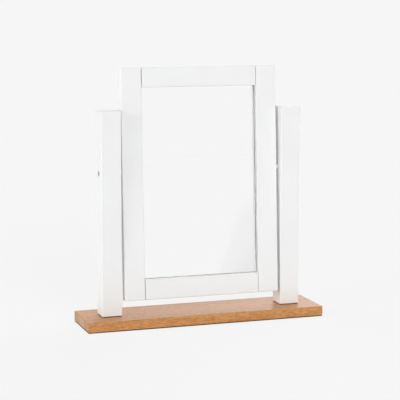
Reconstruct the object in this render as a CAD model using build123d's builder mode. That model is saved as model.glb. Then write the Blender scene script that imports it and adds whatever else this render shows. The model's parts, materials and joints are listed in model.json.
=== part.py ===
from build123d import *
from math import cos, radians, sin
import os

# Dressing table mirror: a glass in a painted frame, hung between two posts on an oak plank.
# X runs along the plank, -Y is the front and Z is up. The origin is the centre of the footprint.

# Mirror frame
frame_width = 370
frame_height = 525
stile_width = 48
top_rail_height = 45
bottom_rail_height = 46
lip_thickness = 12
arris_chamfer = 1.2
joint_groove_width = 1.3
joint_groove_depth = 5
tilt = 3

# Glass and what backs it
glass_thickness = 3
glass_edge_chamfer = 0.5
board_thickness = 4
rebate_width = 10
glass_clearance = 1

# Stand
side_gap = 6
base_clearance = 33
pivot_from_frame_top = 235
post_above_pivot = 141
post_size = 46
post_arris = 1.5
post_foot_chamfer = 2
base_overhang = 43
stave_width = 45
base_thickness = 22
base_arris = 1.5

# Felt pads
pad_thickness = 1.5
pad_radius = 8
pad_inset = 20

# Post fixings
post_bolt_radius = 3
post_bolt_spacing = 22
post_bolt_head_radius = 5
post_bolt_head_height = 6
post_bolt_head_chamfer = 0.6
post_bolt_tip_chamfer = 0.75
post_bolt_socket = 5
post_bolt_socket_depth = 3
post_bolt_sink = 0.4
post_insert_radius = 5
post_insert_length = 20
post_insert_end_room = 0.6
washer_radius = 6
washer_thickness = 1.6
counterbore_radius = 7
post_dowel_radius = 4
post_dowel_spacing = 22
post_dowel_in_base = 12
post_dowel_in_post = 18

# Frame dowels
frame_dowel_radius = 4
frame_dowel_length = 40
frame_dowel_spacing = 22
dowel_chamfer = 0.8
dowel_end_room = 0.5

# Pivots
pivot_bolt_radius = 3
pivot_head_radius = 6
pivot_head_height = 2.5
pivot_head_round = 0.6
pivot_head_sink = 0.3
pivot_tip_chamfer = 0.75
pivot_socket = 4
pivot_socket_depth = 1.6
pivot_insert_radius = 5
pivot_insert_length = 25
pivot_insert_end_room = 7
spacer_radius = 6
spacer_round = 0.6

# Turn clips behind the frame
clip_thickness = 1.2
clip_wide_radius = 6.5
clip_tip_radius = 4
clip_screw_margin = 9
clip_overlap = 8
clip_stile_pitch = 165
clip_rail_pitch = 150
clip_screw_radius = 1.75
clip_screw_length = 12
clip_screw_point = 0.9
clip_head_radius = 3.5
clip_head_height = 2
clip_head_round = 0.9
cross_length = 4
cross_width = 0.9
cross_depth = 1

# Fits and clearances
pivot_clearance = 0.08
running_gap = 0.1
fixed_clearance = 0.1
bolt_hole_clearance = 0.3
pivot_head_clearance = 0.2

# Heights above what the pads stand on
base_top = pad_thickness + base_thickness
frame_below_pivot = frame_height - pivot_from_frame_top
pivot_height = base_top + base_clearance + frame_below_pivot
post_height = pivot_height + post_above_pivot - base_top

# Places along X and Y
post_inner_x = frame_width / 2 + side_gap
post_centre_x = post_inner_x + post_size / 2
post_outer_x = post_inner_x + post_size
base_length = 2 * (post_outer_x + base_overhang)
stave_names = ["base_stave_front", "base_stave_middle", "base_stave_rear"]
base_depth = len(stave_names) * stave_width
sides = [(-1, "left"), (1, "right")]

bolt_points = [(s * post_centre_x, t * post_bolt_spacing / 2) for s in (-1, 1) for t in (-1, 1)]
post_dowel_points = [
    (s * post_centre_x + t * post_dowel_spacing / 2, 0) for s in (-1, 1) for t in (-1, 1)
]
counterbore_depth = post_bolt_sink + post_bolt_head_height + washer_thickness
bolt_in_insert = post_insert_length - post_insert_end_room
post_bolt_length = base_thickness - counterbore_depth + washer_thickness + bolt_in_insert

# The frame is drawn upright on its own plane, which leans back about the line of the pivots.
# On that plane x is the row's X, y runs up the frame from the pivots and z points to the front.
frame_thickness = lip_thickness + glass_thickness + board_thickness
mid_plane = Plane(
    origin=(0, 0, pivot_height),
    x_dir=(1, 0, 0),
    z_dir=(0, -cos(radians(tilt)), sin(radians(tilt))),
)
front_plane = mid_plane.offset(frame_thickness / 2)
back_plane = mid_plane.offset(-frame_thickness / 2)
rear_plane = Plane(back_plane.origin, x_dir=(-1, 0, 0), z_dir=-mid_plane.z_dir)
rear_axis = Axis(mid_plane.origin, rear_plane.z_dir)

# Places on the frame's plane
frame_centre_y = pivot_from_frame_top - frame_height / 2
opening_width = frame_width - 2 * stile_width
opening_height = frame_height - top_rail_height - bottom_rail_height
opening_centre_y = (bottom_rail_height - top_rail_height) / 2 + frame_centre_y
recess_width = opening_width + 2 * rebate_width
recess_height = opening_height + 2 * rebate_width
glass_width = recess_width - 2 * glass_clearance
glass_height = recess_height - 2 * glass_clearance
rebate_depth = glass_thickness + board_thickness
rail_centres = {
    "top_rail": pivot_from_frame_top - top_rail_height / 2,
    "bottom_rail": pivot_from_frame_top - frame_height + bottom_rail_height / 2,
}
rail_heights = {"top_rail": top_rail_height, "bottom_rail": bottom_rail_height}
frame_dowel_points = [
    (centre + away * rebate_width / 2 + t * frame_dowel_spacing / 2, 0)
    for centre, away in zip(rail_centres.values(), (1, -1))
    for t in (-1, 1)
]


def side_plane(side, distance):
    """A plane that faces outward on one side, square to the pivots' line: its x runs up the frame."""
    return Plane((side * distance, 0, pivot_height), x_dir=mid_plane.y_dir, z_dir=(side, 0, 0))


def save(part, name):
    part.label = name
    export_step(part, f"parts/{name}.step")


os.makedirs("parts", exist_ok=True)

# Base plank: three oak staves glued edge to edge, with every outer arris eased.
for index, stave_name in enumerate(stave_names):
    stave_y = (index + 0.5) * stave_width - base_depth / 2
    with BuildPart() as stave:
        with BuildSketch(Plane.XY.offset(pad_thickness)):
            with Locations((0, stave_y)):
                Rectangle(base_length, stave_width)
        extrude(amount=base_thickness)
        glue_lines = [stave_y + s * stave_width / 2 for s in (-1, 1)]
        glue_lines = [y for y in glue_lines if abs(y) < base_depth / 2 - base_arris]
        outer_edges = stave.edges().filter_by(
            lambda edge: all(abs(edge.center().Y - y) > base_arris for y in glue_lines)
        )
        fillet(outer_edges, base_arris)
        with Locations(*[Plane((x, y, pad_thickness), z_dir=(0, 0, -1)) for x, y in bolt_points]):
            CounterBoreHole(post_bolt_radius + bolt_hole_clearance, counterbore_radius, counterbore_depth)
        with BuildSketch(Plane.XY.offset(base_top)):
            with Locations(*post_dowel_points):
                Circle(post_dowel_radius + fixed_clearance)
        extrude(amount=-(post_dowel_in_base + dowel_end_room), mode=Mode.SUBTRACT)
    save(stave.part, stave_name)

# Felt pads, one near each corner of the plank.
with BuildPart() as felt_pads:
    with BuildSketch():
        with GridLocations(base_length - 2 * pad_inset, base_depth - 2 * pad_inset, 2, 2):
            Circle(pad_radius)
    extrude(amount=pad_thickness)
save(felt_pads.part, "felt_pads")

# Posts: square, with eased arrises, a bore with a sunk seat for the pivot bolt's head, and blind
# holes in the foot.
pivot_seat_depth = pivot_head_sink + pivot_head_height + running_gap
for side, side_name in sides:
    with BuildPart() as post:
        with BuildSketch(Plane.XY.offset(base_top)):
            with Locations((side * post_centre_x, 0)):
                Rectangle(post_size, post_size)
        extrude(amount=post_height)
        chamfer(post.edges().group_by(Axis.Z)[0], post_foot_chamfer)
        top_edges = post.edges().group_by(Axis.Z)[-1]
        fillet(post.edges().filter_by(Axis.Z) + top_edges, post_arris)
        with Locations(side_plane(side, post_outer_x)):
            CounterBoreHole(
                pivot_bolt_radius + pivot_clearance,
                pivot_head_radius + pivot_head_clearance,
                pivot_seat_depth,
            )
        with BuildSketch(Plane.XY.offset(base_top)):
            with Locations(*bolt_points):
                Circle(post_insert_radius + fixed_clearance)
        extrude(amount=post_insert_length + dowel_end_room, mode=Mode.SUBTRACT)
        with BuildSketch(Plane.XY.offset(base_top)):
            with Locations(*post_dowel_points):
                Circle(post_dowel_radius + fixed_clearance)
        extrude(amount=post_dowel_in_post + dowel_end_room, mode=Mode.SUBTRACT)
    save(post.part, f"{side_name}_post")

# Dowels between the plank and the posts.
with BuildPart() as post_dowels:
    with BuildSketch(Plane.XY.offset(base_top - post_dowel_in_base)):
        with Locations(*post_dowel_points):
            Circle(post_dowel_radius)
    extrude(amount=post_dowel_in_base + post_dowel_in_post)
    dowel_ends = post_dowels.edges().filter_by(GeomType.CIRCLE)
    chamfer(dowel_ends, dowel_chamfer)
save(post_dowels.part, "post_dowels")

# Threaded brass inserts in the feet of the posts.
with BuildPart() as post_thread_inserts:
    with BuildSketch(Plane.XY.offset(base_top)):
        with Locations(*bolt_points):
            Circle(post_insert_radius)
            Circle(post_bolt_radius + fixed_clearance, mode=Mode.SUBTRACT)
    extrude(amount=post_insert_length)
save(post_thread_inserts.part, "post_thread_inserts")

# Washers at the bottom of the counterbores, and the socket head bolts that bear on them.
washer_seat = pad_thickness + counterbore_depth
bolt_seat = washer_seat - washer_thickness
with BuildPart() as post_bolt_washers:
    with BuildSketch(Plane.XY.offset(bolt_seat)):
        with Locations(*bolt_points):
            Circle(washer_radius)
            Circle(post_bolt_radius + bolt_hole_clearance, mode=Mode.SUBTRACT)
    extrude(amount=washer_thickness)
save(post_bolt_washers.part, "post_bolt_washers")

with BuildPart() as post_bolts:
    with BuildSketch(Plane.XY.offset(bolt_seat)):
        with Locations(*bolt_points):
            Circle(post_bolt_head_radius)
    extrude(amount=-post_bolt_head_height)
    chamfer(post_bolts.edges().group_by(Axis.Z)[0], post_bolt_head_chamfer)
    with BuildSketch(Plane.XY.offset(bolt_seat)):
        with Locations(*bolt_points):
            Circle(post_bolt_radius)
    extrude(amount=post_bolt_length)
    chamfer(post_bolts.edges().group_by(Axis.Z)[-1], post_bolt_tip_chamfer)
    with BuildSketch(Plane.XY.offset(bolt_seat - post_bolt_head_height)):
        with Locations(*bolt_points):
            RegularPolygon(post_bolt_socket / 2, 6, major_radius=False)
    extrude(amount=post_bolt_socket_depth, mode=Mode.SUBTRACT)
save(post_bolts.part, "post_bolts")

# Where the turn clips' screws go in behind: three up each stile and two along each rail.
stile_clip_x = recess_width / 2 + clip_screw_margin
rail_clip_y = recess_height / 2 + clip_screw_margin
clip_spots = []
for side in (-1, 1):
    for step in (-1, 0, 1):
        clip_y = opening_centre_y + step * clip_stile_pitch
        clip_spots.append(Location((side * stile_clip_x, clip_y, 0), (0, 0, 90 + side * 90)))
    for step in (-0.5, 0.5):
        clip_y = opening_centre_y + side * rail_clip_y
        clip_spots.append(Location((step * clip_rail_pitch, clip_y, 0), (0, 0, -side * 90)))

# What is cut from the stiles and rails alike: the rebate for the glass and its board, the pilot
# holes for the clip screws, a narrow groove down the front of each rail's end, and the dowel holes
# across each joint.
with BuildPart() as frame_cuts:
    with BuildSketch(back_plane):
        with Locations((0, opening_centre_y)):
            Rectangle(recess_width, recess_height)
    extrude(amount=rebate_depth)
    with BuildSketch(rear_plane):
        with Locations(*clip_spots):
            Circle(clip_screw_radius + fixed_clearance)
    extrude(amount=-clip_screw_length)
    with BuildSketch(front_plane):
        with Locations((0, frame_centre_y)):
            with GridLocations(opening_width - joint_groove_width, 0, 2, 1):
                Rectangle(joint_groove_width, frame_height)
    extrude(amount=-joint_groove_depth)
    for side, side_name in sides:
        with BuildSketch(side_plane(side, opening_width / 2)):
            with Locations(*frame_dowel_points):
                Circle(frame_dowel_radius + fixed_clearance)
        extrude(amount=frame_dowel_length / 2 + dowel_end_room, both=True)

# Stiles: full height uprights, also drilled from outside for the pivot insert.
for side, side_name in sides:
    with BuildPart() as stile:
        with BuildSketch(back_plane):
            with Locations((side * (frame_width - stile_width) / 2, frame_centre_y)):
                Rectangle(stile_width, frame_height)
        extrude(amount=frame_thickness)
        chamfer(stile.edges(), arris_chamfer)
        add(frame_cuts.part, mode=Mode.SUBTRACT)
        with BuildSketch(side_plane(side, frame_width / 2)):
            Circle(pivot_insert_radius + fixed_clearance)
        extrude(amount=-(pivot_insert_length + dowel_end_room), mode=Mode.SUBTRACT)
    save(stile.part, f"{side_name}_stile")

# Rails: short cross pieces between the stiles. A fine groove shows in front at each of their ends.
for rail_name, rail_y in rail_centres.items():
    with BuildPart() as rail:
        with BuildSketch(back_plane):
            with Locations((0, rail_y)):
                Rectangle(opening_width, rail_heights[rail_name])
        extrude(amount=frame_thickness)
        chamfer(rail.edges(), arris_chamfer)
        add(frame_cuts.part, mode=Mode.SUBTRACT)
    save(rail.part, rail_name)

# Two dowels across each of the frame's four joints, in the part of the rail that has no rebate.
with BuildPart() as frame_dowels:
    for side, side_name in sides:
        with BuildSketch(side_plane(side, opening_width / 2)):
            with Locations(*frame_dowel_points):
                Circle(frame_dowel_radius)
        extrude(amount=frame_dowel_length / 2, both=True)
    chamfer(frame_dowels.edges().filter_by(GeomType.CIRCLE), dowel_chamfer)
save(frame_dowels.part, "frame_dowels")

# Mirror glass against the lip, and the board behind it, flush with the back of the frame.
with BuildPart() as mirror_glass:
    with BuildSketch(back_plane.offset(board_thickness)):
        with Locations((0, opening_centre_y)):
            Rectangle(glass_width, glass_height)
    extrude(amount=glass_thickness)
    chamfer(mirror_glass.edges(), glass_edge_chamfer)
save(mirror_glass.part, "mirror_glass")

with BuildPart() as backing_board:
    with BuildSketch(back_plane):
        with Locations((0, opening_centre_y)):
            Rectangle(glass_width, glass_height)
    extrude(amount=board_thickness)
save(backing_board.part, "backing_board")

# Turn clips: small steel pear shapes, each screwed to the frame with its tip over the board.
with BuildSketch() as clip_outline:
    Circle(clip_wide_radius)
    with Locations((clip_screw_margin + clip_overlap - clip_tip_radius, 0)):
        Circle(clip_tip_radius)
    make_hull()
    Circle(clip_screw_radius + fixed_clearance, mode=Mode.SUBTRACT)

with BuildPart() as turn_clips:
    with BuildSketch(rear_plane):
        with Locations(*clip_spots):
            add(clip_outline.sketch)
    extrude(amount=clip_thickness)
save(turn_clips.part, "turn_clips")

with BuildPart() as clip_screws:
    with BuildSketch(rear_plane.offset(clip_thickness)):
        with Locations(*clip_spots):
            Circle(clip_head_radius)
    extrude(amount=clip_head_height)
    fillet(clip_screws.edges().group_by(rear_axis)[-1], clip_head_round)
    with BuildSketch(rear_plane.offset(clip_thickness)):
        with Locations(*clip_spots):
            Circle(clip_screw_radius)
    extrude(amount=-clip_screw_length)
    chamfer(clip_screws.edges().group_by(rear_axis)[0], clip_screw_point)
    with BuildSketch(rear_plane.offset(clip_thickness + clip_head_height)):
        with Locations(*clip_spots):
            Rectangle(cross_length, cross_width)
            Rectangle(cross_width, cross_length)
    extrude(amount=-cross_depth, mode=Mode.SUBTRACT)
save(clip_screws.part, "clip_screws")

# Pivots: a flat headed bolt, its head sunk in the post's outer face, runs through each post and a
# nylon spacer into a brass insert.
with BuildPart() as pivot_thread_inserts:
    for side, side_name in sides:
        with BuildSketch(side_plane(side, frame_width / 2)):
            Circle(pivot_insert_radius)
            Circle(pivot_bolt_radius + fixed_clearance, mode=Mode.SUBTRACT)
        extrude(amount=-pivot_insert_length)
save(pivot_thread_inserts.part, "pivot_thread_inserts")

head_seat_x = post_outer_x - pivot_head_sink - pivot_head_height
bolt_tip_x = frame_width / 2 - pivot_insert_length + pivot_insert_end_room
for side, side_name in sides:
    outward_axis = Axis((0, 0, pivot_height), (side, 0, 0))
    with BuildPart() as pivot_bolt:
        with BuildSketch(side_plane(side, head_seat_x)):
            Circle(pivot_head_radius)
        extrude(amount=pivot_head_height)
        fillet(pivot_bolt.edges().sort_by(outward_axis)[-1], pivot_head_round)
        with BuildSketch(side_plane(side, head_seat_x)):
            Circle(pivot_bolt_radius)
        extrude(amount=bolt_tip_x - head_seat_x)
        chamfer(pivot_bolt.edges().sort_by(outward_axis)[0], pivot_tip_chamfer)
        with BuildSketch(side_plane(side, head_seat_x + pivot_head_height)):
            RegularPolygon(pivot_socket / 2, 6, major_radius=False)
        extrude(amount=-pivot_socket_depth, mode=Mode.SUBTRACT)
    save(pivot_bolt.part, f"{side_name}_pivot_bolt")

    with BuildPart() as spacer:
        with BuildSketch(side_plane(side, post_inner_x)):
            Circle(spacer_radius)
        extrude(amount=running_gap - side_gap)
        fillet(spacer.edges().filter_by(GeomType.CIRCLE), spacer_round)
        with Locations(side_plane(side, post_inner_x)):
            Hole(pivot_bolt_radius + pivot_clearance)
    save(spacer.part, f"{side_name}_pivot_spacer")
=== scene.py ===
import json
import math
import bmesh
import bpy
from mathutils import Euler, Matrix, Vector


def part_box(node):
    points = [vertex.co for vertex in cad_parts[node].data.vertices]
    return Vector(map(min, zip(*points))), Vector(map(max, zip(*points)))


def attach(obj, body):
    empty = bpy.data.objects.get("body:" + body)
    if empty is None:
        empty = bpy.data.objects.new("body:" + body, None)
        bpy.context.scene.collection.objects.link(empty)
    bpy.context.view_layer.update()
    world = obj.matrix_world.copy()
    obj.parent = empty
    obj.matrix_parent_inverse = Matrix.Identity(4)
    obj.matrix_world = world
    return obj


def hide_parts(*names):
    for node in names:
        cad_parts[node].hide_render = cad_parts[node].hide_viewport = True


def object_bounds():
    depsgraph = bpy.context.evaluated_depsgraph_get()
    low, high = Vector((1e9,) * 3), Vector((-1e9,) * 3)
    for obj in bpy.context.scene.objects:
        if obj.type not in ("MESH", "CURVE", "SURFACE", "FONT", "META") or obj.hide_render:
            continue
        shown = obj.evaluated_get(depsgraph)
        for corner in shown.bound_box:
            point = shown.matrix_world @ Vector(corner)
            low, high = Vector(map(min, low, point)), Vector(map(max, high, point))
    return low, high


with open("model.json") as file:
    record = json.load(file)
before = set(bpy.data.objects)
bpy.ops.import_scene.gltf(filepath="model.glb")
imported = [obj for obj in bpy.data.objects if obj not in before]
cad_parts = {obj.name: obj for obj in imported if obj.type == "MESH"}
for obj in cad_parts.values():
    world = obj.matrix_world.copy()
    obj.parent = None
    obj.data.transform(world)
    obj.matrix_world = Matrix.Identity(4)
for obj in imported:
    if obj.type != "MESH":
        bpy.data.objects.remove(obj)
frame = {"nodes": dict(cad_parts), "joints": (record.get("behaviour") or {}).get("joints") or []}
nodes = frame["nodes"]
cad_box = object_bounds()


# The base plank: three oak staves glued edge to edge, planed flat, eased at every arris and oiled.
# Each stave was sawn from its own place in the log, so its rings, streaks and tone are its own.
class Wire:
    """A shader socket that adds, subtracts, multiplies and divides as a number does."""

    def __init__(self, finish, socket):
        self.finish, self.socket = finish, socket

    def math(self, operation, *terms):
        return self.finish.node("Math", {"operation": operation}, dict(enumerate(terms)))

    def __add__(self, other):
        return self.math("ADD", self, other)

    def __sub__(self, other):
        return self.math("SUBTRACT", self, other)

    def __rsub__(self, other):
        return self.math("SUBTRACT", other, self)

    def __mul__(self, other):
        return self.math("MULTIPLY", self, other)

    def __truediv__(self, other):
        return self.math("DIVIDE", self, other)

    def __rtruediv__(self, other):
        return self.math("DIVIDE", other, self)

    def __abs__(self):
        return self.math("ABSOLUTE", self)

    __radd__, __rmul__ = __add__, __mul__

    def rise(self, low, high):
        """0 below low and 1 above high, with a smooth rise between them."""
        inputs = {"Value": self, "From Min": low, "From Max": high}
        return self.finish.node("MapRange", {"interpolation_type": "SMOOTHSTEP"}, inputs)


class Finish:
    """A material or world being made up. node() adds a node and gives one of its outputs."""

    families = ("ShaderNode",)

    def __init__(self, name, kind=bpy.data.materials):
        self.made = kind.new(name)
        self.made.use_nodes = True
        self.tree = self.made.node_tree
        self.tree.nodes.clear()

    def node(self, kind, settings=None, inputs=None, output=0):
        family = next(start for start in self.families if hasattr(bpy.types, start + kind))
        made = self.tree.nodes.new(family + kind)
        for name, value in (settings or {}).items():
            setattr(made, name, value)
        for name, value in (inputs or {}).items():
            if isinstance(value, Wire):
                self.tree.links.new(value.socket, made.inputs[name])
            else:
                made.inputs[name].default_value = value
        return Wire(self, made.outputs[output]) if made.outputs else None

    def place(self, scale=(1, 1, 1), turn=(0, 0, 0), shift=(0, 0, 0)):
        """The point on the piece, in metres, shifted, turned and scaled to suit a pattern."""
        point = self.node("TexCoord", output="Object")
        moved = self.node("Mapping", inputs={"Vector": point, "Location": shift, "Rotation": turn})
        return self.node("VectorMath", {"operation": "MULTIPLY"}, {0: moved, 1: scale})

    def parts(self, point):
        """The x, y and z of a point."""
        return [self.node("SeparateXYZ", inputs={"Vector": point}, output=axis) for axis in "XYZ"]

    def noise(self, point, detail=2, roughness=0.5, output="Fac"):
        inputs = {"Vector": point, "Scale": 1, "Detail": detail, "Roughness": roughness}
        return self.node("TexNoise", inputs=inputs, output=output)

    def mix(self, share, first, second, blend="MIX"):
        """A colour between two others, each a tuple of three or a wire."""
        first, second = (c if isinstance(c, Wire) else (*c, 1) for c in (first, second))
        settings = {"data_type": "RGBA", "blend_type": blend}
        return self.node("Mix", settings, {0: share, 6: first, 7: second}, output=2)

    def surface(self, height=None, depth=0.0001, **inputs):
        """Ends the material in a Principled shader, with a bump that is depth metres high."""
        sockets = {name: name.replace("_", " ").title().replace("Ior", "IOR") for name in inputs}
        inputs = {sockets[name]: value for name, value in inputs.items()}
        if height is not None:
            inputs["Normal"] = self.node("Bump", inputs={"Height": height, "Distance": depth})
        shader = self.node("BsdfPrincipled", inputs=inputs)
        self.node("OutputMaterial", inputs={"Surface": shader})
        return self.made


def dress(material, *names):
    """Puts a finish on CAD pieces."""
    for name in names:
        nodes[name].material_slots[0].material = material


def oak(name, pith, end_tone):
    """Oiled oak whose rings go round a pith line, which runs along X at pith, a (y, z) place."""
    wood = Finish(name)
    pale, deep, pore_brown = (0.64, 0.303, 0.102), (0.38, 0.150, 0.037), (0.24, 0.10, 0.035)
    ring_width, rings_astray, sway, end_skin = 0.0031, 3, 0.011, 0.0003
    slope = math.radians(0.9)
    sway_point = wood.place((1.6, 7, 7), shift=(pith[0], 0, 0))
    swaying = wood.noise(sway_point, detail=2, output="Color")
    from_pith = wood.place((0, 1, 1), turn=(0, slope, slope), shift=(0, -pith[0], -pith[1]))
    bend = {0: swaying, 1: (0, sway, sway), 2: from_pith}
    bent = wood.node("VectorMath", {"operation": "MULTIPLY_ADD"}, bend)
    radius = wood.node("VectorMath", {"operation": "LENGTH"}, {0: bent}, output="Value")
    by_radius = {"W": radius * 110, "Scale": 1, "Detail": 1}
    uneven = wood.node("TexNoise", {"noise_dimensions": "1D"}, by_radius)
    ring_count = radius / ring_width + uneven * rings_astray
    ring = wood.node("Math", {"operation": "FRACT"}, {0: ring_count})
    late = ring.rise(0.25, 0.95)
    fleck = wood.noise(wood.place((100, 480, 480), shift=(pith[1], 0, 0)), detail=2, roughness=0.6)
    fibre = wood.noise(wood.place((14, 900, 900)), detail=3, roughness=0.6)
    streak = wood.noise(wood.place((1.3, 75, 75), shift=(0, pith[1], pith[0])), detail=2)
    pore = wood.noise(wood.place((60, 2400, 2400)), detail=1).rise(0.58, 0.75) * (1 - 0.75 * late)
    shade = late * 0.3 + fleck.rise(0.3, 0.7) * 0.88 + fibre * 0.3 + streak * 0.35 - 0.5
    colour = wood.mix(shade, pale, deep)
    colour = wood.mix(pore * 0.35, colour, pore_brown)
    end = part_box(name.removeprefix("oiled_oak_"))[1][0]
    end_grain = abs(wood.parts(wood.place())[0]).rise(end - 2 * end_skin, end - end_skin)
    colour = wood.mix(end_grain, colour, end_tone, blend="MULTIPLY")
    return wood.surface(
        height=fibre * 0.4 - pore,
        depth=0.00012,
        base_color=colour,
        roughness=0.26 + pore * 0.2 + fibre * 0.12,
        specular_ior_level=0.42,
    )


staves = {
    "base_stave_front": ((-0.070, -0.062), (0.82, 0.72, 0.55)),
    "base_stave_middle": ((0.022, -0.085), (0.90, 1.02, 1.05)),
    "base_stave_rear": ((0.075, 0.090), (0.70, 0.78, 0.70)),
}
for stave, (pith, end_tone) in staves.items():
    dress(oak(f"oiled_oak_{stave}", pith, end_tone), stave)


# Felt pads: discs punched from dark pressed wool, stuck under the plank near its corners. The rims
# are rounded by wear and the cut edges are ragged.
def set_out(name, data):
    """Puts a mesh, lamp or camera into the scene as an object of that name."""
    thing = bpy.data.objects.new(name, data)
    bpy.context.scene.collection.objects.link(thing)
    return thing


def plain_mesh(thing):
    """What an object's modifiers make of it, as a mesh of its own."""
    shown = thing.evaluated_get(bpy.context.evaluated_depsgraph_get())
    return bpy.data.meshes.new_from_object(shown)


class Pattern(Finish):
    """A Geometry Nodes tree being made up. Its sizes are named inputs, and node() adds to it."""

    families = ("GeometryNode", "FunctionNode", "ShaderNode", "Node")
    sockets = {float: "Float", int: "Int", Vector: "Vector", bpy.types.Object: "Object"}

    def __init__(self, name, **sizes):
        self.tree = bpy.data.node_groups.new(name, "GeometryNodeTree")
        self.name, self.values = name, {}
        self.socket("Geometry", "Geometry", "OUTPUT")
        self.socket("Geometry", "Geometry")
        for size, value in sizes.items():
            self.values[self.socket(size, self.sockets[type(value)])] = value
        given = self.tree.nodes.new("NodeGroupInput")
        self.start, *self.sizes = (Wire(self, socket) for socket in given.outputs[:-1])

    def socket(self, name, kind, way="INPUT"):
        made = self.tree.interface.new_socket(name, in_out=way, socket_type="NodeSocket" + kind)
        return made.identifier

    def grow(self, copies, material, places):
        """The piece that copies, instances of something, make once the tree runs on places."""
        real = self.node("RealizeInstances", inputs={"Geometry": copies})
        dressed = self.node("SetMaterial", inputs={"Geometry": real, "Material": material})
        self.node("GroupOutput", inputs={0: dressed})
        place_mesh = bpy.data.meshes.new(self.name)
        place_mesh.from_pydata(places, [], [])
        holder = set_out(self.name + "_places", place_mesh)
        modifier = holder.modifiers.new("pattern", "NODES")
        modifier.node_group = self.tree
        for identifier, value in self.values.items():
            modifier[identifier] = value
        grown = plain_mesh(holder)
        bpy.data.objects.remove(holder)
        grown.shade_smooth()
        grown.set_sharp_from_angle(angle=math.radians(35))
        return set_out(self.name, grown)


def solids(name, view=Matrix()):
    """Lowest and highest corner of each separate solid in a node, in the axes that view gives."""
    shape = bmesh.new()
    shape.from_mesh(nodes[name].data)
    bmesh.ops.remove_doubles(shape, verts=shape.verts, dist=1e-6)
    unseen = set(shape.verts)
    found = []
    while unseen:
        solid = [unseen.pop()]
        for vertex in solid:
            near = {edge.other_vert(vertex) for edge in vertex.link_edges} & unseen
            solid.extend(near)
            unseen -= near
        sides = list(zip(*(view @ vertex.co for vertex in solid)))
        found.append((Vector(map(min, sides)), Vector(map(max, sides))))
    shape.free()
    return sorted(found, key=lambda box: tuple(box[0]))


felt = Finish("pressed_felt")
wool = felt.noise(felt.place((900, 900, 900)), detail=4, roughness=0.7)
felt_material = felt.surface(
    height=wool,
    depth=0.0004,
    base_color=felt.mix(wool, (0.05, 0.045, 0.042), (0.17, 0.155, 0.145)),
    roughness=0.93 + wool * 0.05,
)
pad_boxes = solids("felt_pads")
pad_size = pad_boxes[0][1] - pad_boxes[0][0]
punch = Pattern(
    "felt_pad_discs",
    radius=pad_size.x / 2,
    thickness=pad_size.z,
    worn_rim=0.0004,
    ragged_edge=0.00025,
    fibre_size=0.0006,
    seed=4,
)
radius, thickness, worn_rim, ragged_edge, fibre_size, seed = punch.sizes
blank = punch.node(
    "MeshCylinder",
    inputs={
        "Vertices": 96,
        "Side Segments": 8,
        "Fill Segments": 6,
        "Radius": radius,
        "Depth": thickness,
    },
)
point = punch.node("InputPosition")
x, y, z = punch.parts(point)
flat = punch.node("CombineXYZ", inputs={"X": x, "Y": y})
outward = punch.node("VectorMath", {"operation": "NORMALIZE"}, {0: flat})
from_middle = punch.node("VectorMath", {"operation": "LENGTH"}, {0: flat}, output="Value")
at_rim = (from_middle / radius).rise(0.9, 1)
to_face = abs(z) * 2 / thickness
ragged = punch.node("TexNoise", inputs={"Vector": point, "Scale": 1 / fibre_size, "Detail": 3})
inward = at_rim * (worn_rim * to_face * to_face * to_face + ragged_edge * ragged)
moved = punch.node("VectorMath", {"operation": "SCALE"}, {0: outward, "Scale": 0 - inward})
disc = punch.node("SetPosition", inputs={"Geometry": blank, "Offset": moved})
full_turn = Vector((0, 0, math.tau))
spun = punch.node("RandomValue", {"data_type": "FLOAT_VECTOR"}, {1: full_turn, "Seed": seed})
stuck = {"Points": punch.start, "Instance": disc, "Rotation": spun}
discs = punch.node("InstanceOnPoints", inputs=stuck)
felt_discs = punch.grow(discs, felt_material, [(low + high) / 2 for low, high in pad_boxes])
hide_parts("felt_pads")
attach(felt_discs, "stand")


# Posts: square lengths of planed wood under satin white paint, brushed on along the grain. The
# arris at the foot of each is eased, and a fine dark line of painted shade runs round it, where
# the post meets the plank.
def white_paint(name, turn, foot=None):
    """Satin white paint whose brush marks run along X once the piece is turned by turn.

    A piece that stands on the plank gives the height of its foot, where a dark line of painted
    shade runs."""
    paint = Finish(name)
    white, greyer_white = (0.862, 0.866, 0.868), (0.842, 0.845, 0.844)
    painted_foot_shade, shade_low, shade_high = (0.07, 0.04, 0.022), 0.0013, 0.0019
    marks = paint.noise(paint.place((7, 430, 430), turn), detail=3, roughness=0.6)
    swell = paint.noise(paint.place((4, 38, 38), turn), detail=2)
    patches = paint.noise(paint.place((9, 9, 9), turn), detail=2)
    colour = paint.mix(patches.rise(0.25, 0.8), white, greyer_white)
    # Painted shade: the dark line at the foot stands for the shade where the post meets the plank.
    if foot is not None:
        above = paint.parts(paint.place())[2].rise(foot + shade_low, foot + shade_high)
        colour = paint.mix(above, painted_foot_shade, colour)
    return paint.surface(
        height=marks * 0.35 + swell,
        depth=0.00018,
        base_color=colour,
        roughness=0.34 + marks * 0.14 + swell * 0.06,
    )


quarter = math.radians(90)
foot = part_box("left_post")[0].z
dress(white_paint("satin_white_posts", (0, quarter, 0), foot), "left_post", "right_post")


# Post fixings: zinc plated bolts that come up through the plank, over washers, into brass inserts
# in the posts, and beech dowels that keep each post from turning. The frame's dowels are the same
# beech, and the pivots are the same brass and a duller plate.
beech = Finish("plain_beech")
beech_fibre = beech.noise(beech.place((300, 300, 300)), detail=3)
beech_wood = beech.surface(
    height=beech_fibre,
    base_color=beech.mix(beech_fibre, (0.62, 0.42, 0.24), (0.48, 0.30, 0.15)),
    roughness=0.6,
)
dress(beech_wood, "post_dowels", "frame_dowels")


def metal(name, pale, deep, roughness):
    """Bare or plated metal with fine tool marks and a slightly uneven shine."""
    plate = Finish(name)
    marks = plate.noise(plate.place((1400, 1400, 1400)), detail=2)
    cloud = plate.noise(plate.place((160, 160, 160)), detail=3)
    return plate.surface(
        height=marks,
        depth=0.00002,
        base_color=plate.mix(cloud, pale, deep),
        metallic=1,
        roughness=roughness + cloud * 0.16,
    )


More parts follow.
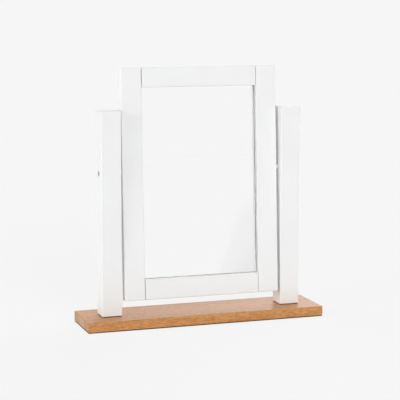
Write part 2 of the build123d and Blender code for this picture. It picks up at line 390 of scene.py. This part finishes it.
brass = metal("turned_brass", (0.80, 0.60, 0.28), (0.66, 0.47, 0.19), 0.22)
zinc = metal("zinc_plate", (0.66, 0.67, 0.69), (0.52, 0.53, 0.55), 0.24)
dulled = metal("dulled_zinc_plate", (0.36, 0.37, 0.39), (0.27, 0.28, 0.30), 0.3)
dress(brass, "post_thread_inserts", "pivot_thread_inserts")
dress(zinc, "post_bolts", "post_bolt_washers")
dress(dulled, "left_pivot_bolt", "right_pivot_bolt")


# The mirror frame: two stiles the full height with rails dowelled between them, of the same
# painted wood as the posts, leaning back on its pivots. The paint is brushed along each member
# and breaks at the grooves of the joints.
glass_faces = nodes["mirror_glass"].data.polygons
glass_front = min((face.normal for face in glass_faces), key=lambda normal: normal.y)
lean = math.atan2(glass_front.z, -glass_front.y)
dress(white_paint("satin_white_stiles", (lean, quarter, 0)), "left_stile", "right_stile")
dress(white_paint("satin_white_rails", (lean, 0, 0)), "top_rail", "bottom_rail")


# Mirror glass: clear float glass, bedded against the lip of the frame, with a film of silver on
# its back. The film reflects through the glass, so that a dark line shows along the lip.
def mesh_of(name, shape):
    """The mesh of a shape made in bmesh, which is let go."""
    mesh = bpy.data.meshes.new(name)
    shape.to_mesh(mesh)
    shape.free()
    return mesh


clear = Finish("clear_float_glass")
haze = clear.noise(clear.place((14, 14, 14)), detail=4)
dress(
    clear.surface(
        base_color=clear.mix(haze, (0.999, 1.0, 0.9995), (0.996, 0.999, 0.9975)),
        roughness=haze.rise(0.4, 1.0) * 0.012,
        transmission_weight=1,
        ior=1.52,
    ),
    "mirror_glass",
)
silver = Finish("silver_film")
cloud = silver.noise(silver.place((30, 30, 30)), detail=3)
silver_finish = silver.surface(
    base_color=silver.mix(cloud, (1.0, 1.0, 1.0), (0.995, 0.995, 0.995)),
    metallic=1,
    roughness=cloud.rise(0.5, 1.0) * 0.01,
)

# onto_frame gives a place by the leaning frame's own axes: x across, y up it and z to the front.
pivot = Vector(frame["joints"][0]["pos_m"])
frame_place = Matrix.Translation(pivot) @ Matrix.Rotation(quarter - lean, 4, "X")
onto_frame = frame_place.inverted()
film_margin, film_lift, film_thickness = 0.001, 0.00004, 0.00002
glass_low, glass_high = solids("mirror_glass", onto_frame)[0]
film_size = glass_high - glass_low - Vector((2 * film_margin, 2 * film_margin, 0))
film_size.z = film_thickness
film_place = (glass_low + glass_high) / 2
film_place.z = glass_low.z + film_lift
shape = bmesh.new()
bmesh.ops.create_cube(shape, size=1)
shape.transform(frame_place @ Matrix.LocRotScale(film_place, None, film_size))
film_corners = [edge for edge in shape.edges if edge.calc_length() < 2 * film_thickness]
bmesh.ops.bevel(shape, geom=film_corners, offset=2 * film_margin, segments=4, affect="EDGES")
silver_film = set_out("silver_film", mesh_of("silver_film", shape))
silver_film.data.materials.append(silver_finish)
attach(silver_film, "mirror")


# Backing board: smooth brown hardboard, cut to the size of the glass and laid in behind it. It
# keeps the film from scratches, and the turn clips press on it.
board = Finish("brown_hardboard")
pulp = board.noise(board.place((520, 520, 520)), detail=4, roughness=0.65)
blotch = board.noise(board.place((24, 24, 24)), detail=3)
mottle = pulp * 0.7 + blotch * 0.5 - 0.1
dress(
    board.surface(
        height=pulp,
        depth=0.0002,
        base_color=board.mix(mottle, (0.30, 0.185, 0.10), (0.17, 0.095, 0.048)),
        roughness=0.55 + pulp * 0.15,
    ),
    "backing_board",
)


# Turn clips and their screws: pear shapes stamped from zinc plated steel, each held to the frame
# by one pan head screw with a cross recess. A clip turns aside to let the board out.
dress(zinc, "turn_clips")
screw_boxes = solids("clip_screws", onto_frame)
screw_size = screw_boxes[0][1] - screw_boxes[0][0]
head_radius, head_height, head_fullness = screw_size.x / 2, 0.002, 2.6
shank_length = screw_size.z - head_height
crest, root, thread_pitch, ridge_share = 0.00175, 0.0012, 0.0012, 0.5
point_length, point_share = 0.004, 0.15
around, rings_a_turn, head_rings = 32, 8, 12


def screw_radius(height, share):
    """How far the screw's skin is from its axis at a height and at a share of the way round."""
    if height >= 0:
        rise = min(height / head_height, 1)
        return head_radius * (1 - rise**head_fullness) ** (1 / head_fullness)
    into_thread = (height / thread_pitch - share) % 1
    ridge = max(0, 1 - abs(into_thread - 0.5) * 2 / ridge_share)
    taper = min(1, point_share + (height + shank_length) / point_length)
    return (root + (crest - root) * ridge) * taper


shank_rings = round(shank_length / thread_pitch * rings_a_turn)
heights = [-shank_length * (1 - ring / shank_rings) for ring in range(shank_rings)]
heights += [head_height * math.sin(quarter * ring / head_rings) for ring in range(head_rings)]
shape = bmesh.new()
rows = []
for height in heights:
    row = []
    for step in range(around):
        share = step / around
        angle = share * math.tau
        reach_out = screw_radius(height, share)
        spot = (reach_out * math.cos(angle), reach_out * math.sin(angle), height)
        row.append(shape.verts.new(spot))
    rows.append(row)
for lower, upper in zip(rows, rows[1:]):
    for step in range(around):
        after = (step + 1) % around
        shape.faces.new((lower[step], lower[after], upper[after], upper[step]))
tip = shape.verts.new((0, 0, -shank_length))
crown = shape.verts.new((0, 0, head_height))
for step in range(around):
    after = (step + 1) % around
    shape.faces.new((tip, rows[0][after], rows[0][step]))
    shape.faces.new((crown, rows[-1][step], rows[-1][after]))
screw = set_out("clip_screw", mesh_of("clip_screw", shape))

recess_top, recess_foot = (0.004, 0.0009), (0.0022, 0.0006)
recess_depth, recess_clearance = 0.001, 0.0002
blades = []
for turn in (0, quarter):
    shape = bmesh.new()
    bmesh.ops.create_cube(shape, size=1)
    for vertex in shape.verts:
        above = vertex.co.z > 0
        long, wide = recess_top if above else recess_foot
        height = head_height + (recess_clearance if above else -recess_depth)
        vertex.co = Vector((vertex.co.x * long, vertex.co.y * wide, height))
    shape.transform(Matrix.Rotation(turn, 4, "Z"))
    blade = set_out("recess_blade", mesh_of("recess_blade", shape))
    cut = screw.modifiers.new("recess", "BOOLEAN")
    cut.object = blade
    cut.solver = "EXACT"
    blades.append(blade)
screw.data = plain_mesh(screw)
screw.modifiers.clear()

row_of_screws = Pattern(
    "cross_head_screws",
    screw=screw,
    away=frame_place.to_3x3() @ Vector((0, 0, -1)),
    widest_turn=quarter,
    seed=11,
)
one_screw, away, widest_turn, seed = row_of_screws.sizes
model = row_of_screws.node("ObjectInfo", inputs={"Object": one_screw}, output="Geometry")
upright = row_of_screws.node("AlignRotationToVector", {"axis": "Z"}, {"Vector": away})
chance = {3: widest_turn, "Seed": seed}
driven = row_of_screws.node("RandomValue", {"data_type": "FLOAT"}, chance, output=1)
twist = row_of_screws.node("AxisAngleToRotation", inputs={"Axis": (0, 0, 1), "Angle": driven})
seating = {"Rotation": upright, "Rotate By": twist}
seated = row_of_screws.node("RotateRotation", {"rotation_space": "LOCAL"}, seating)
copied = {"Points": row_of_screws.start, "Instance": model, "Rotation": seated}
screws = row_of_screws.node("InstanceOnPoints", inputs=copied)
seats = []
for low, high in screw_boxes:
    seat = (low + high) / 2
    seat.z = low.z + head_height
    seats.append(frame_place @ seat)
cross_head_screws = row_of_screws.grow(screws, zinc, seats)
for helper in (screw, *blades):
    bpy.data.objects.remove(helper)
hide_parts("clip_screws")
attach(cross_head_screws, "mirror")


# Pivot spacers: rings of natural nylon, one round each pivot bolt between the post and the frame.
# They keep the gap even, and the frame turns against them.
nylon = Finish("natural_nylon")
cast = nylon.noise(nylon.place((300, 300, 300)), detail=2)
dress(
    nylon.surface(
        height=cast,
        depth=0.00003,
        base_color=nylon.mix(cast, (0.82, 0.82, 0.79), (0.76, 0.76, 0.72)),
        roughness=0.4,
    ),
    "left_pivot_spacer",
    "right_pivot_spacer",
)


# The stage: a pale floor under an even white surround, with soft lamps round it, one of which
# shows in the gloss. The camera and the glass see one pale level and the object's shadow, and the
# glass also sees a cooler grey painted on the floor to the right, as painted shade where the light
# falls off.
pale_level = 0.9216
surround = 0.12
lamps = [
    ("front_lamp", 1.83, 40, (0, 25), False),
    ("left_lamp", 1.14, 30, (-75, 15), False),
    ("left_back_lamp", 1.20, 60, (-120, 20), False),
    ("right_back_lamp", 1.40, 60, (130, 30), True),
]
floor_light = surround
for lamp_name, strength, spread, (azimuth, elevation), glints in lamps:
    lamp = bpy.data.lights.new(lamp_name, "SUN")
    lamp.energy = strength
    lamp.angle = math.radians(spread)
    lamp_object = set_out(lamp_name, lamp)
    swung, raised = math.radians(azimuth), math.radians(elevation)
    level = math.cos(raised)
    towards = Vector((math.sin(swung) * level, -math.cos(swung) * level, math.sin(raised)))
    lamp_object.rotation_euler = towards.to_track_quat("Z", "Y").to_euler()
    lamp_object.visible_glossy = glints
    floor_light += strength * math.sin(raised) / math.pi

backdrop = Finish("even_surround", bpy.data.worlds)
bpy.context.scene.world = backdrop.made


def seen(finish):
    """1 where the camera or the glass looks, and 0 where only light travels."""
    rays = ("Camera", "Glossy", "Transmission")
    looks = [finish.node("LightPath", output=f"Is {ray} Ray") for ray in rays]
    return looks[0] + looks[1] + looks[2]


plain_white = (1, 1, 1, 1)
lit = backdrop.node("Background", inputs={"Color": plain_white, "Strength": surround})
shown = backdrop.node("Background", inputs={"Color": plain_white, "Strength": pale_level})
both = backdrop.node("MixShader", inputs={0: seen(backdrop), 1: lit, 2: shown})
backdrop.node("OutputWorld", inputs={"Surface": both})

floor_span = 30
floor_mesh = bpy.data.meshes.new("floor")
corners = [(x * floor_span, y * floor_span, 0) for x, y in ((-1, -1), (1, -1), (1, 1), (-1, 1))]
floor_mesh.from_pydata(corners, [], [(0, 1, 2, 3)])
floor = set_out("floor", floor_mesh)
pale_floor = Finish("pale_floor")
bounce_level, shadow_level, edge_fade = 0.88, 0.12, 0.002
falloff_drop, falloff_from, falloff_until = (0.105, 0.110, 0.095), (0.8, 1.1), (3.5, 7)
faint_edge, full_edge = (0.375, 0.4), (0.405, 0.475)
reach = [max(-cad_box[0][axis], cad_box[1][axis]) for axis in range(2)]
floor_x, floor_y, _ = pale_floor.parts(pale_floor.place())
edges = zip((floor_x, floor_y), reach)
across, along = (abs(part).rise(half - edge_fade, half + edge_fade) for part, half in edges)
open_floor = pale_floor.node("Math", {"operation": "MAXIMUM"}, {0: across, 1: along})
glow_level = pale_level - shadow_level * floor_light
plain_glow = (glow_level, glow_level, glow_level)
falloff_glow = tuple(glow_level - drop for drop in falloff_drop)
to_front = 0 - floor_y
bearing = floor_x / to_front
# Painted shade: a cooler, darker floor to the right, seen only by the glass, stands for the light
# falling off there.
painted_falloff = bearing.rise(*faint_edge) * 0.42 + bearing.rise(*full_edge) * 0.52
painted_falloff = painted_falloff * to_front.rise(*falloff_from) * (1 - to_front.rise(*falloff_until))
painted_falloff = painted_falloff * (1 - pale_floor.node("LightPath", output="Is Camera Ray"))
glow_colour = pale_floor.mix(painted_falloff, plain_glow, falloff_glow)
# Painted shade: the floor within the object's outline gets no glow, so it shows dark under the
# plank.
glow_colour = pale_floor.mix(open_floor, (0, 0, 0), glow_colour)
bounce, shadowed = (
    pale_floor.node("BsdfDiffuse", inputs={"Color": (level, level, level, 1)})
    for level in (bounce_level, shadow_level)
)
glow = pale_floor.node("Emission", inputs={"Color": glow_colour})
picture = pale_floor.node("AddShader", inputs={0: shadowed, 1: glow})
from_above = pale_floor.node("MixShader", inputs={0: seen(pale_floor), 1: bounce, 2: picture})
below = pale_floor.node("NewGeometry", output="Backfacing")
clear_below = pale_floor.node("BsdfTransparent")
one_sided = pale_floor.node("MixShader", inputs={0: below, 1: from_above, 2: clear_below})
pale_floor.node("OutputMaterial", inputs={"Surface": one_sided})
floor_mesh.materials.append(pale_floor.made)


# The camera: a little higher than the object and to its left, with a long lens, looking slightly
# down. A small shift sets the object higher in the picture.
looks_down, looks_right = math.radians(6.49), math.radians(18.63)
camera_data = bpy.data.cameras.new("camera")
camera_data.lens = 126.328
camera_data.shift_y = -0.1
camera_data.clip_end = 100
camera = set_out("camera", camera_data)
camera.location = (-1.01604, -3.01806, 0.73081)
camera.rotation_euler = Euler((quarter - looks_down, 0, -looks_right))
bpy.context.scene.camera = camera
bpy.context.scene.view_settings.view_transform = "Standard"
